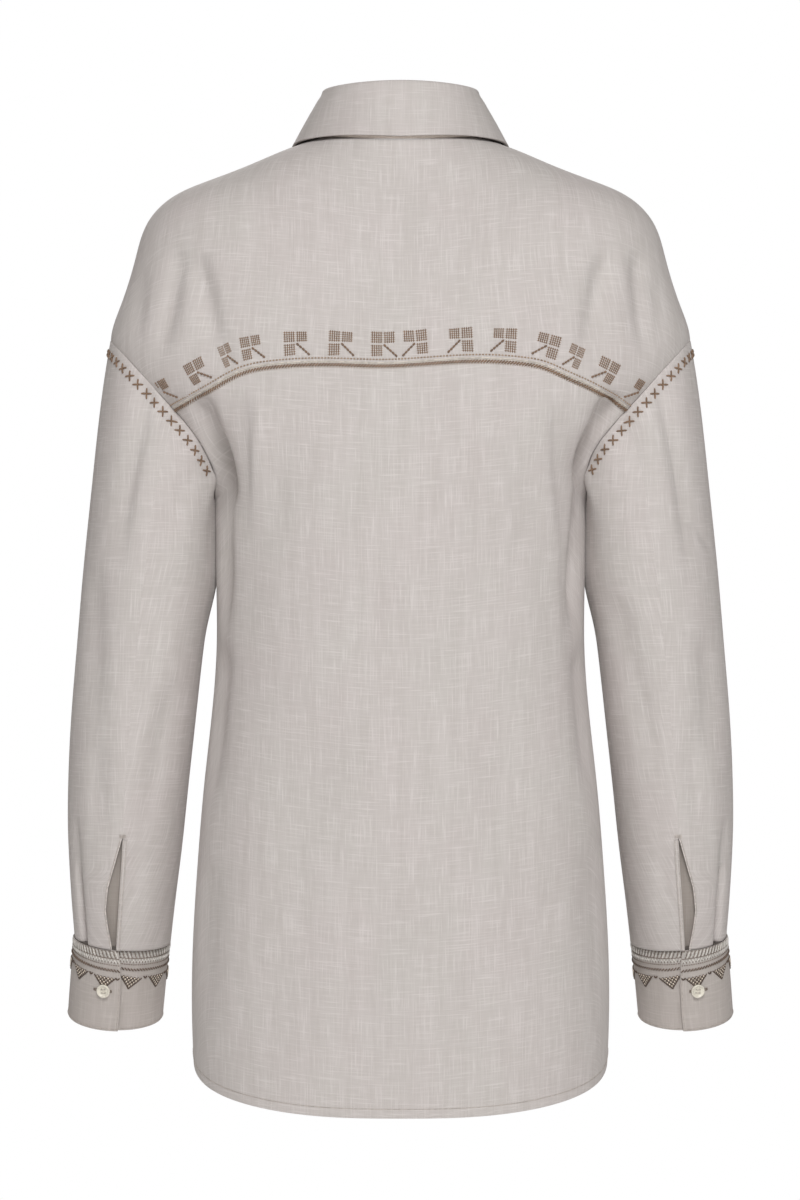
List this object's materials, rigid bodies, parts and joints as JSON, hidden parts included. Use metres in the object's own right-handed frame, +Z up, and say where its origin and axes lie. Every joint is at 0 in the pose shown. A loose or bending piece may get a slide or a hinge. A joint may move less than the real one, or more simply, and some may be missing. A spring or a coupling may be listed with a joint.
{
  "type": "vyshyvanka shirt",
  "caption": "Relaxed long-sleeved linen shirt in its worn form, open at neck, hem and cuffs, with a deep drop-shoulder yoke and brown counted-thread embroidery.",
  "frame": {"origin": "middle of the neck opening, level with the centre-back neck seam, where the wearer's shoulders hold the shirt", "axes": "+Z up, the front faces -Y, the back faces +Y, +X is the wearer's left"},
  "size_m": [0.5398, 0.2259, 0.8139],
  "materials": {
    "linen": "plain-woven natural linen, matt, with slubs",
    "embroidery_thread": "stranded cotton thread with a soft sheen",
    "button": "cream, softly polished"
  },
  "bodies": {
    "root": {"back": "linen", "back_yoke": "linen", "front_left": "linen", "front_right": "linen", "front_band": "linen", "collar_stand": "linen", "collar_leaf": "linen", "sleeve_left": "linen", "sleeve_right": "linen", "binding_left": "linen", "binding_right": "linen", "cuff_left": "linen", "cuff_right": "linen", "cuff_button_left": "button", "cuff_button_right": "button", "front_button_1": "button", "front_button_2": "button", "front_button_3": "button", "front_button_4": "button", "front_button_5": "button", "front_button_6": "button", "front_button_7": "button"}
  },
  "joints": []
}
